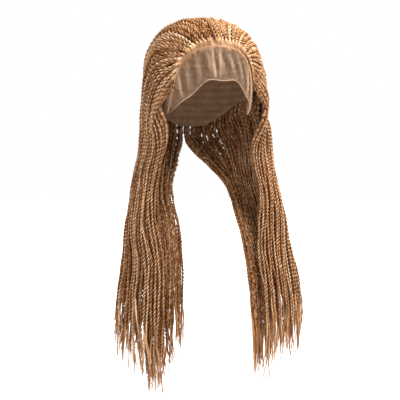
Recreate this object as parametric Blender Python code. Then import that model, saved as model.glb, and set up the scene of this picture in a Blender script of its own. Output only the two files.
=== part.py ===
"""Braid wig: a net cap with a sheer lace front, swept-back twist braids on it, and their long falls.

Metres, +Z up. The face looks along -Y and the wearer's left is +X. The origin is the top of the
head inside the cap. Both sides are worked out on the +X side, with sideways measures positive
outwards, and the right one is then mirrored.
"""

import functools
import math

import bmesh
import bpy
import numpy as np
from mathutils import Vector

# The head that the cap fits: half breadth, lengths before and behind the ear line, and rise above it
HEAD_HALF_BREADTH = 0.076
HEAD_FRONT = 0.097
HEAD_BACK = 0.100
HEAD_RISE = 0.100
HEAD_SQUARENESS = 2.3

# The outside of the braids on the cap, measured from the same centre. Below it the braids hang
# almost straight. At the top they lean back, and between two heights they flare out sideways
HAIR_HALF_BREADTH = 0.102
HAIR_FRONT = 0.106
HAIR_BACK = 0.118
HAIR_RISE = 0.119
HAIR_BELOW = 0.300
HAIR_SQUARENESS = 2.45
HAIR_LEAN = 0.020
HAIR_FLARE = 0.05
FLARE_STARTS = 0.030
FLARE_ENDS = -0.040

# Walls, clearances and the braids' layers
CAP_WALL = 0.0012
LACE_WALL = 0.0010
PIECE_GAP = 0.0004
GROUP_GAP = 0.0010
CROWN_CLEARANCE = 0.0015
ROOT_THICKNESS = 0.0045
FULL_LAYER_AT = 0.045
FALL_THICKNESS = 0.022
FALL_LENGTH = 0.620
SPLIT_DROP = 0.430
FADE_LENGTH = 0.075
INNER_SLIT = 0.0012
LOCK_GROOVE = 0.0028
MOST_GROOVE_SHARE = 0.25
TIP_WIDTH_SHARE = 0.16
TIP_THICKNESS_SHARE = 0.35

# How finely the pieces are cut, and small angles and steps at their edges
CAP_SEGMENTS = 48
CAP_RINGS = 20
LACE_HALF_SPAN = 75.0
LACE_ROWS = 5
CROWN_ROWS = 18
FLOW_STEPS = 40
EDGE_STEP = 0.01
LOCKS_A_SIDE = 15
LOCKS_A_GROUP = 5
ROWS_ABOVE_SPLIT = 9
ROWS_BELOW_SPLIT = 4
OVERHANG_DEGREES = 3.0
ROOT_SETBACK_DEGREES = 1.0

# Cap edge: azimuth from the face, angle down from the crown, in degrees
CAP_EDGE = (
    (0, 52.7),
    (30, 56.6),
    (43, 65),
    (51, 77.6),
    (57, 94),
    (64, 109),
    (77, 122),
    (90, 111),
    (103, 103),
    (121, 107),
    (143, 117),
    (160, 123.6),
    (180, 125),
)

# Cut edge of the lace: azimuth, angle down from the crown
LACE_EDGE = ((0, 87), (17, 88), (22, 92.5), (31, 101), (40, 106), (45, 109), (55, 115), (75, 124.5))

# Flow of the braids over the cap: share from the temple to the middle, root azimuth,
# crest azimuth, crest angle from the crown, azimuth where they leave the cap
CROWN_FLOW = (
    (0.00, 53, 57, 95, 63),
    (0.15, 48, 65, 85, 77),
    (0.30, 43, 77, 69, 91),
    (0.50, 34, 92, 48, 110),
    (0.70, 23, 108, 30, 128),
    (0.85, 12, 125, 15, 150),
    (1.00, 0, 140, 0, 180),
)

# Sections of a fall: drop as a share of FALL_LENGTH, centre and radii of its oval as shares of
# HAIR_HALF_BREADTH sideways and HAIR_BACK fore and aft, tilt, first and last angle from the front
# (90 is outwards), wall as a share of FALL_THICKNESS
RIGHT_SECTIONS = (
    (0.210, 0.00, 0.03, 1.06, 0.97, 0, 80, 178, 1.00),
    (0.327, 0.57, 0.13, 0.50, 0.46, 0, 26, 213, 0.90),
    (0.395, 0.71, 0.085, 0.47, 0.36, 0, 18, 222, 0.80),
    (0.463, 0.85, -0.02, 0.43, 0.305, 3, 6, 238, 0.70),
    (0.503, 0.91, -0.12, 0.45, 0.22, 8, -4, 252, 0.60),
    (0.558, 0.96, -0.24, 0.475, 0.155, 13, -14, 264, 0.55),
    (0.626, 0.99, -0.32, 0.515, 0.13, 15, -22, 266, 0.52),
    (0.706, 1.05, -0.37, 0.56, 0.125, 17, -25, 268, 0.50),
    (1.000, 1.06, -0.42, 0.53, 0.115, 17, -25, 268, 0.48),
)
LEFT_SECTIONS = (
    (0.210, 0.00, 0.03, 1.06, 0.97, 0, 80, 178, 1.00),
    (0.327, 0.65, 0.12, 0.58, 0.39, 0, 8, 213, 0.90),
    (0.395, 0.745, 0.03, 0.51, 0.36, 0, 2, 222, 0.80),
    (0.463, 0.88, -0.05, 0.45, 0.305, 3, -10, 238, 0.70),
    (0.503, 0.92, -0.15, 0.47, 0.22, 6, -22, 252, 0.60),
    (0.558, 0.96, -0.25, 0.47, 0.155, 12, -34, 264, 0.55),
    (0.626, 1.02, -0.34, 0.49, 0.13, 14, -40, 266, 0.52),
    (0.706, 1.08, -0.39, 0.52, 0.125, 15, -40, 268, 0.50),
    (1.000, 1.07, -0.44, 0.48, 0.115, 15, -40, 268, 0.48),
)

# Share of the wall that is left along a fall, from its front edge to its rear edge
EDGE_THINNING = ((0.0, 0.45), (0.12, 0.7), (0.3, 1.0), (0.85, 1.0), (1.0, 0.6))

# Lock ends, from the front edge to the rear edge: right drop and left drop as shares of
# FALL_LENGTH, outward swing as shares of HAIR_HALF_BREADTH
LOCK_ENDS = (
    (1.000, 0.975, 0.00, -0.02),
    (0.985, 0.930, 0.02, 0.00),
    (0.925, 0.920, -0.03, 0.02),
    (0.915, 0.930, 0.03, -0.02),
    (0.870, 0.915, 0.04, 0.03),
    (0.775, 0.860, 0.09, 0.06),
    (0.848, 0.765, 0.05, 0.12),
    (0.885, 0.855, 0.00, 0.10),
    (0.897, 0.890, 0.03, 0.02),
    (0.950, 0.905, -0.04, 0.03),
    (0.990, 0.884, 0.02, -0.02),
    (0.975, 0.913, 0.00, 0.02),
    (0.927, 0.944, -0.04, 0.01),
    (0.879, 0.968, 0.03, -0.02),
    (0.900, 0.935, -0.06, 0.02),
)

GROUPS = ("temple", "side", "back")
SIDES = {"right": (-1, RIGHT_SECTIONS, 0), "left": (1, LEFT_SECTIONS, 1)}


def smooth_row(rows, place):
    """The columns of a table at a place, on a smooth curve through its rows."""
    table = np.array(rows, float)
    places = table[:, 0]
    place = min(max(place, places[0]), places[-1])
    low = min(int(np.searchsorted(places, place, side="right")) - 1, len(rows) - 2)
    slopes = np.gradient(table[:, 1:], places, axis=0)
    span = places[low + 1] - places[low]
    t = (place - places[low]) / span
    return (
        (2 * t**3 - 3 * t**2 + 1) * table[low, 1:]
        + (t**3 - 2 * t**2 + t) * span * slopes[low]
        + (3 * t**2 - 2 * t**3) * table[low + 1, 1:]
        + (t**3 - t**2) * span * slopes[low + 1]
    )


def ease(share):
    """0 to 1 with flat ends."""
    share = min(max(share, 0.0), 1.0)
    return share * share * (3 - 2 * share)


def direction(azimuth, angle):
    """Unit vector from the head's centre; azimuth 0 is the face, 90 is +X, and angle is from the top."""
    azimuth = math.radians(azimuth)
    angle = math.radians(angle)
    flat = math.sin(angle)
    return Vector((flat * math.sin(azimuth), -flat * math.cos(azimuth), math.cos(angle)))


def dome_radius(way, breadth, front, back, rise, squareness):
    """Distance from the head's centre to a rounded box of these half sizes, along a unit vector."""
    across = math.hypot(way.x / breadth, way.y / (front if way.y < 0 else back))
    return (across**squareness + abs(way.z / rise) ** squareness) ** (-1 / squareness)


def on_head(way, offset=0.0):
    """A point on the head along a unit vector, lifted by an offset."""
    radius = dome_radius(way, HEAD_HALF_BREADTH, HEAD_FRONT, HEAD_BACK, HEAD_RISE, HEAD_SQUARENESS)
    return way * (radius + offset) - Vector((0, 0, HEAD_RISE))


def on_hair(way):
    """A point on the outside of the swept-back braids along a unit vector."""
    rise = HAIR_RISE if way.z > 0 else HAIR_BELOW
    radius = dome_radius(way, HAIR_HALF_BREADTH, HAIR_FRONT, HAIR_BACK, rise, HAIR_SQUARENESS)
    point = way * radius
    point.x *= 1 + HAIR_FLARE * ease((FLARE_STARTS - point.z) / (FLARE_STARTS - FLARE_ENDS))
    point.y += HAIR_LEAN * max(point.z / HAIR_RISE, 0) ** 2
    return point - Vector((0, 0, HEAD_RISE))


def cap_edge(azimuth):
    return float(smooth_row(CAP_EDGE, abs(azimuth))[0])


@functools.lru_cache(maxsize=None)
def flow_curve(share):
    """Unit vectors along one braid's way over the cap, and how far along it each lies, 0 to 1."""
    root, crest_azimuth, crest_angle, leave = smooth_row(CROWN_FLOW, share)
    start = direction(root, cap_edge(root) - ROOT_SETBACK_DEGREES)
    crest = direction(crest_azimuth, max(crest_angle, 0.0))
    end = direction(leave, cap_edge(leave) + OVERHANG_DEGREES)
    ways = []
    for t in np.linspace(0, 1, FLOW_STEPS):
        ways.append((start * (1 - t) ** 2 + crest * 2 * t * (1 - t) + end * t**2).normalized())
    steps = [(b - a).length for a, b in zip(ways, ways[1:])]
    reach = np.concatenate(([0.0], np.cumsum(steps)))
    return ways, reach / reach[-1]


def flow_way(share, along):
    """Unit vector along one braid's way over the cap, on the +X side: along is 0 at its root."""
    ways, reach = flow_curve(share)
    place = float(np.interp(along, reach, range(len(ways))))
    low = min(int(place), len(ways) - 2)
    return ways[low].lerp(ways[low + 1], place - low).normalized()


def flow_points(share, along):
    """The inner and the outer point of the layer of braids on the cap, on the +X side."""
    way = flow_way(share, along)
    inner = on_head(way, CAP_WALL + CROWN_CLEARANCE)
    thin = on_head(way, CAP_WALL + CROWN_CLEARANCE + ROOT_THICKNESS)
    from_root = (inner - on_head(flow_way(share, 0.0))).length
    return inner, thin.lerp(on_hair(way), ease(from_root / FULL_LAYER_AT))


def section_points(sections, share, drop):
    """The inner and the outer point of a fall's wall at a drop below the crown, measured outwards."""
    row = smooth_row(sections, drop / FALL_LENGTH)
    centre_x, centre_y, radius_x, radius_y, tilt, first, last, wall = row
    centre_x, radius_x = centre_x * HAIR_HALF_BREADTH, radius_x * HAIR_HALF_BREADTH
    centre_y, radius_y = centre_y * HAIR_BACK, radius_y * HAIR_BACK
    wall *= FALL_THICKNESS * float(smooth_row(EDGE_THINNING, share)[0])
    angle = math.radians(first + (last - first) * share)
    tilt = math.radians(tilt)
    points = []
    for taken in (wall, 0.0):
        across = max(radius_x - taken, INNER_SLIT) * math.sin(angle)
        ahead = -max(radius_y - taken, INNER_SLIT) * math.cos(angle)
        points.append(
            Vector(
                (
                    centre_x + across * math.cos(tilt) - ahead * math.sin(tilt),
                    centre_y + across * math.sin(tilt) + ahead * math.cos(tilt),
                    -drop,
                )
            )
        )
    return points


def fall_points(sections, share, drop):
    """The inner and the outer point of a fall, which starts where the braids leave the cap."""
    leaving = flow_points(share, 1.0)
    start = max(-point.z for point in leaving)
    keep = 1 - ease((drop - start) / FADE_LENGTH)
    found = section_points(sections, share, max(drop, start))
    at_start = section_points(sections, share, start)
    return [
        point + (left - before) * keep for point, left, before in zip(found, leaving, at_start)
    ]


def layered_grid(name, columns, rows, place, slit_columns=(), slit_rows=0):
    """One closed solid from a flat grid, with slits up from its v = 0 edge at some columns.

    place(u, v, lock_u) gives the inner and the outer point of a grid point; lock_u is the middle
    of the faces beside it, which tells the two sides of a slit apart.
    """
    bm = bmesh.new()
    bmesh.ops.create_grid(bm, x_segments=columns, y_segments=rows, size=0.5)
    cuts = [
        edge
        for edge in bm.edges
        if edge.verts[0].co.x == edge.verts[1].co.x
        and round((edge.verts[0].co.x + 0.5) * columns) in slit_columns
        and max(vert.co.y for vert in edge.verts) + 0.5 < (slit_rows + 0.5) / rows
    ]
    bmesh.ops.split_edges(bm, edges=cuts)
    spot = bm.verts.layers.float_vector.new("spot")
    for vert in bm.verts:
        middle = sum(face.calc_center_median().x for face in vert.link_faces)
        vert[spot] = (vert.co.x + 0.5, vert.co.y + 0.5, middle / len(vert.link_faces) + 0.5)
    made = bmesh.ops.extrude_face_region(bm, geom=bm.faces[:], use_keep_orig=True)
    upper = {item for item in made["geom"] if isinstance(item, bmesh.types.BMVert)}
    for vert in bm.verts:
        inner, outer = place(*vert[spot])
        vert.co = outer if vert in upper else inner
    bmesh.ops.triangulate(bm, faces=bm.faces[:])
    bmesh.ops.recalc_face_normals(bm, faces=bm.faces[:])
    return finish_mesh(name, bm)


def finish_mesh(name, bm):
    mesh = bpy.data.meshes.new(name)
    bm.to_mesh(mesh)
    bm.free()
    mesh.shade_smooth()
    mesh.set_sharp_from_angle(angle=math.radians(50))
    return bpy.data.objects.new(name, mesh)


def build_cap():
    """Net dome: a sphere's upper half drawn down to the cap edge, with its wall outside."""
    bm = bmesh.new()
    bmesh.ops.create_uvsphere(bm, u_segments=CAP_SEGMENTS, v_segments=CAP_RINGS, radius=1)
    low = [vert for vert in bm.verts if vert.co.z < -0.01]
    bmesh.ops.delete(bm, geom=low, context="VERTS")
    ways = {}
    for vert in bm.verts:
        azimuth = math.degrees(math.atan2(vert.co.x, -vert.co.y))
        share = math.degrees(math.acos(min(max(vert.co.z, -1), 1))) / 90
        ways[vert] = direction(azimuth, share * cap_edge(azimuth))
    for vert, way in ways.items():
        vert.co = on_head(way)
    bmesh.ops.recalc_face_normals(bm, faces=bm.faces[:])
    inner = bm.faces[:]
    made = bmesh.ops.extrude_face_region(bm, geom=inner, use_keep_orig=True)
    for vert in (item for item in made["geom"] if isinstance(item, bmesh.types.BMVert)):
        centre = Vector((0, 0, -HEAD_RISE))
        vert.co += (vert.co - centre).normalized() * CAP_WALL
    bmesh.ops.recalc_face_normals(bm, faces=bm.faces[:])
    return finish_mesh("cap", bm)


def build_lace():
    """Sheer lace over the forehead, from the cap's front edge to its own scissor-cut edge."""

    def place(u, v, _):
        azimuth = LACE_HALF_SPAN * (2 * u - 1)
        gap = math.degrees(PIECE_GAP / HEAD_FRONT)
        top = cap_edge(azimuth) + gap
        low = float(smooth_row(LACE_EDGE, abs(azimuth))[0])
        way = direction(azimuth, low + (top - low) * v)
        return on_head(way), on_head(way, LACE_WALL)

    columns = round(2 * LACE_HALF_SPAN * CAP_SEGMENTS / 360)
    return layered_grid("lace_front", columns, LACE_ROWS, place)


def grooved(inner, outer, share):
    """The outer point, lowered where two locks meet."""
    locks = share * LOCKS_A_SIDE
    if abs(locks - round(locks)) > 0.25:
        return outer
    return outer.lerp(inner, min(LOCK_GROOVE / (outer - inner).length, MOST_GROOVE_SHARE))


def build_crown():
    """The braids that cover the cap, from one sideburn over the head to the other."""

    def place(u, v, _):
        across = 2 * u - 1
        share = 1 - abs(across)
        inner, outer = flow_points(share, 1 - v)
        outer = grooved(inner, outer, share)
        for point in (inner, outer):
            point.x = math.copysign(point.x, across) if abs(across) > 1e-6 else 0.0
        return inner, outer

    return layered_grid("crown_braids", 4 * LOCKS_A_SIDE, CROWN_ROWS, place)


def parted(points, ahead, behind, edge):
    """Both points of an edge column, moved half a gap away from the piece beside it."""
    along = (ahead[1] - behind[1]).normalized()
    return [point + along * (edge * GROUP_GAP / 2) for point in points]


def build_fall(side, group):
    """One of the three curtains of a side, with its locks parted below SPLIT_DROP."""
    sign, sections, column = SIDES[side]
    first_lock = GROUPS.index(group) * LOCKS_A_GROUP
    rows = ROWS_ABOVE_SPLIT + ROWS_BELOW_SPLIT

    def drop_and_taper(share, lock, along):
        start = max(-point.z for point in flow_points(share, 1.0)) + PIECE_GAP
        if along <= ROWS_ABOVE_SPLIT:
            return start + (SPLIT_DROP - start) * along / ROWS_ABOVE_SPLIT, 0.0
        below = (along - ROWS_ABOVE_SPLIT) / ROWS_BELOW_SPLIT
        return SPLIT_DROP + (LOCK_ENDS[lock][column] * FALL_LENGTH - SPLIT_DROP) * below, below

    def place(u, v, lock_u):
        along = (1 - v) * rows
        lock = first_lock + min(int(lock_u * LOCKS_A_GROUP), LOCKS_A_GROUP - 1)
        share = (first_lock + u * LOCKS_A_GROUP) / LOCKS_A_SIDE
        drop, below = drop_and_taper(share, lock, along)
        middle = (lock + 0.5) / LOCKS_A_SIDE
        narrowed = middle + (share - middle) * (1 + (TIP_WIDTH_SHARE - 1) * ease(below))

        def wall(at):
            if along < 0.5:
                return [point - Vector((0, 0, PIECE_GAP)) for point in flow_points(at, 1.0)]
            return fall_points(sections, at, drop)

        inner, outer = wall(narrowed)
        outer = grooved(inner, outer, share)
        centre = (inner + outer) / 2
        keep = 1 + (TIP_THICKNESS_SHARE - 1) * ease(below)
        points = [centre + (point - centre) * keep for point in (inner, outer)]
        edge = (u < 0.001) - (u > 0.999)
        if edge:
            near = EDGE_STEP * (1 if narrowed < 0.5 else -1)
            ahead, behind = (wall(narrowed + step) for step in (max(near, 0), min(near, 0)))
            points = parted(points, ahead, behind, edge)
        swing = LOCK_ENDS[lock][2 + column] * HAIR_HALF_BREADTH * below**3
        for point in points:
            point.x = sign * (point.x + swing)
        return points

    slits = [2 * lock for lock in range(1, LOCKS_A_GROUP)]
    name = f"{side}_{group}_braids"
    return layered_grid(name, 2 * LOCKS_A_GROUP, rows, place, slits, ROWS_BELOW_SPLIT)


def material(name, colour, roughness, alpha=1.0):
    made = bpy.data.materials.new(name)
    made.use_nodes = True
    shader = made.node_tree.nodes["Principled BSDF"]
    shader.inputs["Base Color"].default_value = (*colour, 1)
    shader.inputs["Roughness"].default_value = roughness
    shader.inputs["Metallic"].default_value = 0.0
    shader.inputs["Alpha"].default_value = alpha
    return made


def main():
    for thing in list(bpy.data.objects):
        bpy.data.objects.remove(thing)
    collection = bpy.data.collections.new("braid_wig")
    bpy.context.scene.collection.children.link(collection)
    net = material("brown_net", (0.10, 0.055, 0.03), 0.9)
    lace = material("sheer_lace", (0.62, 0.45, 0.34), 0.8, 0.5)
    honey = material("honey_braids", (0.46, 0.26, 0.13), 0.55)
    shaded = material("honey_falls", (0.38, 0.20, 0.095), 0.6)
    pieces = [(build_cap(), net), (build_lace(), lace), (build_crown(), honey)]
    for side in SIDES:
        for group in GROUPS:
            pieces.append((build_fall(side, group), shaded))
    for piece, finish in pieces:
        piece.data.materials.append(finish)
        collection.objects.link(piece)


main()
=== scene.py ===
"""Looks of the braid wig: single two-strand twists over the net cap, their feathered ends, the
hairs at their roots, and the sheer lace in front.

Metres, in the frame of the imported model: +Z up, the face looks along -Y, the wearer's left is +X,
and the origin is the top of the head inside the cap. The flow of the braids is worked out on the
+X side, with sideways measures positive outwards, and the right side is then mirrored.
"""

import math

import bmesh
import bpy
import numpy as np
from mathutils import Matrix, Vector

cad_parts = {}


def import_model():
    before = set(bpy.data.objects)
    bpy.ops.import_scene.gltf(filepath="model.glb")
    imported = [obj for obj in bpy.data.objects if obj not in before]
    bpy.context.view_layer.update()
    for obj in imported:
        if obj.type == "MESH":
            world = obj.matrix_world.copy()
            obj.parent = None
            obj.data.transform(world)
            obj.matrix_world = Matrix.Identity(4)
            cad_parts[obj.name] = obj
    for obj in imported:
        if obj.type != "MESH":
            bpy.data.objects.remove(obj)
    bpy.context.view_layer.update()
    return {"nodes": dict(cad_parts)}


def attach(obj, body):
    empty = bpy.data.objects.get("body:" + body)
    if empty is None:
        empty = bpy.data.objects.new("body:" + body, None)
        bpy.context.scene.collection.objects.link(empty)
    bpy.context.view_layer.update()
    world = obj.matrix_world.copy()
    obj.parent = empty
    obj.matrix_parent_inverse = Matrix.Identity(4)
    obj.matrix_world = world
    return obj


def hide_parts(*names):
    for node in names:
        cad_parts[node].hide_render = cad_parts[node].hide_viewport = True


# The head that the cap fits and the outside of the braids on it, as in the CAD
HEAD_HALF_BREADTH = 0.076
HEAD_FRONT = 0.097
HEAD_BACK = 0.100
HEAD_RISE = 0.100
HEAD_SQUARENESS = 2.3
HAIR_HALF_BREADTH = 0.102
HAIR_FRONT = 0.106
HAIR_BACK = 0.118
HAIR_RISE = 0.119
HAIR_BELOW = 0.300
HAIR_SQUARENESS = 2.45
HAIR_LEAN = 0.020
HAIR_FLARE = 0.05
FLARE_STARTS = 0.030
FLARE_ENDS = -0.040
CAP_WALL = 0.0012
CROWN_CLEARANCE = 0.0015
ROOT_THICKNESS = 0.0045
FULL_LAYER_AT = 0.045
FALL_THICKNESS = 0.022
FALL_LENGTH = 0.620
SPLIT_DROP = 0.430
FADE_LENGTH = 0.075
INNER_SLIT = 0.0012
OVERHANG_DEGREES = 3.0
ROOT_SETBACK_DEGREES = 1.0

# Steps along one braid's way over the cap, and places across a fall or a hairline
FLOW_STEPS = 60
FINE_PLACES = 201

# One twist: strand radius and full pitch at the root and further down, how the pitch differs from
# twist to twist and how much longer it is on a thick one, the length over which both settle, the
# steps that find its turns, and the range of its first turn in radians
STRAND_AT_ROOT = 0.00162
STRAND_BELOW = 0.00130
PITCH_AT_ROOT = 0.0165
PITCH_BELOW = 0.0118
PITCH_RANGE = (0.93, 1.08)
PITCH_POWER = 1.5
SETTLES_OVER = 0.25
FINE_STEPS = 600
FIRST_TURN = (0, 6.28)

# Thickness of a twist: the share that its root has, the share that its end loses, the lengths over
# which it gets there, and how uneven it is
ROOT_HAS = 0.40
ROOT_GROWS_OVER = 0.011
END_LOSES = 0.6
END_TAPERS_OVER = 0.05
UNEVEN_BY = 0.07
UNEVEN_WAVES = ((0.03, 0.013), (0.7, 0.5))

# Thick inner twists under the nape: what they thin to, the drop where that starts, over how much
THICK_BELOW = 1.05
THINS_FROM = 0.21
THINS_OVER = 0.09

# Tones of the twists: mean and spread, and how far the two strands of one differ
TWIST_SEED = 20
TWIST_TONES = (-0.08, 0.45)
STRAND_TONE = 0.15

# Middle line of a twist: its points on the cap and down the fall, how far below the cap the fall's
# first one is, half windows that smooth it, and the points over which the long one takes over
CAP_POINTS = 70
FALL_POINTS = 150
BELOW_CAP = 0.002
SHORT_WINDOW = 4
LONG_WINDOW = 12
LONG_FROM = 62
LONG_OVER = 25

# Slow waves in it, as lengths and sizes, and the lengths over which they set in and grow
WAVE_STRETCH = (0.8, 1.25)
SIDE_WAVES = ((0.24, 0.11, 0.05), (0.0012, 0.0009, 0.0004))
DEPTH_WAVES = ((0.19, 0.08), (0.0007, 0.0005))
WAVES_FROM = 0.006
WAVES_OVER = 0.05
WAVES_GROW_OVER = 0.2

# How far a twist gathers into its lock, how its end differs, how far it drifts, and how many cross
# their neighbours on the cap
GATHER_BELOW = 0.12
GATHER_AT_TIPS = 0.35
TIP_LENGTH = 0.110
END_RANGE = (-0.036, 0.020)
SHORTER_BY = 0.09
SHORTER_SHARE = 0.45
DRIFT = 0.006
DRIFTS_OVER = 0.3
LEAST_ROOT_SHARE = 0.002
CROSSING_SHARE = 0.2
CROSSING_DRIFT = 0.026
CROSSING_LIFT = 0.0022

# Layers of twists on one side: how many, depth under the outside, where they start over the cap
# (0 at the hairline, 1 at the cap's lower edge), rings in each, how much painted shade they get, how
# many times as thick as the outer ones, and the first share that they cover
LAYERS = (
    (18, 0.0026, 0.00, 0.00, 325, 0.0, 1.0, 0.0),
    (18, 0.0026, 0.09, 0.17, 325, 0.0, 1.0, 0.0),
    (36, 0.0062, 0.03, 0.11, 210, 0.08, 1.2, 0.002),
    (20, 0.0080, 0.22, 0.36, 110, 0.6, 1.7, 0.690),
    (29, 0.0140, 0.14, 0.35, 208, 0.3, 1.15, 0.250),
)
OUTER_LAYERS = 2
SPREAD_BY_LENGTH = 0.6

# Share of the wall that a twist may lie deep, in the outer and the other layers, how deep an outer
# one starts that has its root behind the hairline, and the share of the cap over which it comes out
OUTER_DEEPEST = 0.5
INNER_DEEPEST = 0.88
RISES_FROM = 0.8
RISES_OVER = 0.16

# Even spacing of the twists on a fall: how far it is kept, the drop that it is taken from, where and
# over what drop it sets in, and the same for the nape, where it sets in from the cap down
EVENED_SHARE = 0.85
EVENED_AT = 0.42
EVENED_FROM = 0.27
EVENED_OVER = 0.14
NAPE_AT = 0.205
NAPE_OVER = 0.07

# Painted shade on a twist, as shares of the painted crease shade, with places in strand radii off its
# middle line: drops over which the cap's shade and the lighter top of the head end, the twist's
# flanks, its underside on the cap, how much less its cover takes on top, and the outside of covered
# ones on the falls
SHADE_FADES_FROM = 0.17
SHADE_FADES_OVER = 0.09
TOP_FADES_FROM = 0.01
TOP_FADES_OVER = 0.09
FLANK_FROM = 0.5
FLANK_LATER_ON_TOP = 0.8
FLANK_OVER = 0.85
UNDERSIDE_DARK = 0.85
UNDERSIDE_LESS_ON_TOP = 0.3
UNDERSIDE_FROM = -0.2
UNDERSIDE_OVER = 1.5
COVERED_LESS_ON_TOP = 0.4
OUTSIDE_DARK = 0.85
OUTSIDE_FROM = -0.4
OUTSIDE_OVER = 0.9

# Copper at the end of a twist, partly its own colour and partly painted light shining through the
# thin hair, and how far each tube's streaks are shifted by its tone
END_COPPER = 0.25
COPPER_OVER = 0.08
STREAK_SHIFT = 3.0

# Loose hair at the end of a twist: its length and the share that each twist leaves to it, hairs on
# the outermost layer and how many fewer on each below, where they start and end, their thickness
LOOSE_LENGTH = 0.062
TWIST_LEAVES = (0.75, 1.15)
LOOSE_STRANDS = 11
FEWER_BELOW = 2
LOOSE_RINGS = 7
LOOSE_STARTS = (0.006, 0.030)
LOOSE_ENDS = (0.45, 1.35)
LOOSE_THICK = 0.00072
LOOSE_POINT = 0.00008
LOOSE_COPPER = 0.2
LOOSE_TONES = (-1.0, 0.5)
# A random painted shade on each loose hair
LOOSE_SHADES = (0.0, 0.7)

# How it splays: the whole end, with a bound, and each hair off the middle line, wider on the share
# of ends that are open
SPLAY = 0.0065
MOST_SPLAY = 0.012
LIFTED_SHARE = 0.5
OPEN_SHARE = 0.2
OPEN_SPLAYS = 2
OFF_MIDDLE = 0.0011
OFF_MIDDLE_LOSES = 0.75
SPREAD = 0.0013
OPEN_SPREAD = 0.010
SPREAD_POWER = 1.5
HAIR_WAVE = 0.0004
HAIR_WAVES = 1.6

# Fan of hairs at a root: how many, how wide, how far ahead of the root they start, where they join
# the twist, how much of their width stays there, their lift off the net and their thickness
ROOT_HAIRS = 14
FAN_RINGS = 5
FAN_WIDTH = 0.0084
FAN_UNEVEN = 0.0004
FAN_AHEAD = (0.0010, 0.0065)
FAN_AHEAD_POWER = 1.5
FAN_JOINS = (0.007, 0.012)
FAN_POWER = 1.3
FAN_STAYS = 0.12
FAN_SUNK = -0.0012
FAN_RISE = 0.0022
FAN_HUMP = 0.0006
FAN_THIN = 0.00014
FAN_THICKENS = 0.00022
FAN_TONES = (0.1, 0.7)
FAN_COPPER = 0.15

# Short hairs on the lace, in degrees: how many a side, azimuths of their roots, reach, and tones;
# the first row is the temples, the second the whole hairline
SHORT_HAIRS = (
    (46, (38, 66), (4, 13), (-0.9, 0.4)),
    (220, (0, 62), (2, 6), (0.0, 0.9)),
)
SHORT_SEED = 7
SHORT_RINGS = 6
SHORT_CURL = (-6, 9)
SHORT_DROOP = (-3, 6)
SHORT_FORWARD = 0.8
SHORT_DOWN = 0.45
SHORT_SETBACK = 1
SHORT_LIFT = 0.0016
SHORT_THICK = 0.00017
SHORT_POINT = 0.00004
SHORT_COPPER = 0.3

# Lace: half its span in degrees, its lift off the head, its cut size before it was stretched over
# the forehead, and how far it starts below the cap's edge in degrees
LACE_HALF_SPAN = 75.0
LACE_LIFT = 0.0006
LACE_FLAT = (0.300, 0.070)
LACE_GAP = 0.25
LACE_CELLS = (160, 28)

# Its folds: azimuth at the cut edge, how far it leans over the lace's depth, width, height
LACE_FOLDS = (
    (-7, -3, 1.2, 0.0013),
    (-3, 2, 0.8, 0.0009),
    (33, 6, 1.3, 0.0010),
    (-41, -9, 1.4, 0.0008),
)
LACE_RIPPLE = 0.0005

# Its mesh of holes, and the cap's pale ground: half the span of the hairline that it follows, in
# degrees, and the depth behind it over which the ground ends
NET_CELL = 0.0011
RIM_HALF_SPAN = 55
RIM_DEPTH = 0.020

# Colours: hair from its darkest streaks to its lightest, thin ends, painted shade for creases and
# hidden sides, lace, and the net's threads, worn places and rows
# The streaks are the hair's own tones; the palest stop is made paler still as painted sheen
HAIR_TONES = (
    (0.32, (0.10, 0.026, 0.005)),
    (0.44, (0.34, 0.140, 0.048)),
    (0.54, (0.62, 0.345, 0.168)),
    (0.70, (0.96, 0.71, 0.48)),
)
# Copper on thin hair: partly its own colour, partly painted light shining through it
COPPER_TONES = ((0.3, (0.52, 0.20, 0.055)), (0.7, (0.80, 0.46, 0.22)))
PAINTED_SHADE_COLOUR = (0.045, 0.010, 0.0015, 1)
LACE_COLOUR = (0.80, 0.51, 0.32, 1)
RIM_COLOUR = (0.55, 0.35, 0.22, 1)
NET_THREADS = ((0.35, (0.075, 0.040, 0.022)), (0.65, (0.27, 0.155, 0.090)))
NET_WORN = ((0.3, (0.75, 0.75, 0.75)), (0.7, (1.0, 0.96, 0.92)))
NET_ROWS = ((0.2, (0.86, 0.85, 0.84)), (0.8, (1.0, 1.0, 1.0)))
FLOOR_COLOUR = (0.97, 0.97, 0.97, 1)

# Camera: degrees round from the face and up, distance, width of the view at the wig, and its aim
CAMERA_AZIMUTH = -17.5
CAMERA_ELEVATION = 1.5
CAMERA_DISTANCE = 1.85
FRAME_WIDTH = 0.672
AIM_DROP = 0.287
AIM_SIDEWAYS = -0.0076

# Floor and light: the strength of the surroundings, and for each light its strength, how broad it
# is in degrees, and the way it shines
FLOOR_DROP = 0.80
FLOOR_SIZE = 20
AMBIENT = 0.58
LIGHTS = (
    ("key", 7.6, 35, (-0.50, 0.45, -1.30)),
    ("fill", 1.1, 60, (0.30, 1.00, -0.15)),
)

# Cap edge: azimuth from the face, angle down from the crown, in degrees
CAP_EDGE = (
    (0, 52.7),
    (30, 56.6),
    (43, 65),
    (51, 77.6),
    (57, 94),
    (64, 109),
    (77, 122),
    (90, 111),
    (103, 103),
    (121, 107),
    (143, 117),
    (160, 123.6),
    (180, 125),
)

# Cut edge of the lace: azimuth, angle down from the crown
LACE_EDGE = ((0, 87), (17, 88), (22, 92.5), (31, 101), (40, 106), (45, 109), (55, 115), (75, 124.5))

# Flow of the braids over the cap: share from the temple to the middle, root azimuth,
# crest azimuth, crest angle from the crown, azimuth where they leave the cap
CROWN_FLOW = (
    (0.00, 53, 57, 95, 63),
    (0.15, 48, 65, 85, 77),
    (0.30, 43, 77, 69, 91),
    (0.50, 34, 92, 48, 110),
    (0.70, 23, 108, 30, 128),
    (0.85, 12, 125, 15, 150),
    (1.00, 0, 140, 0, 180),
)

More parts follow.
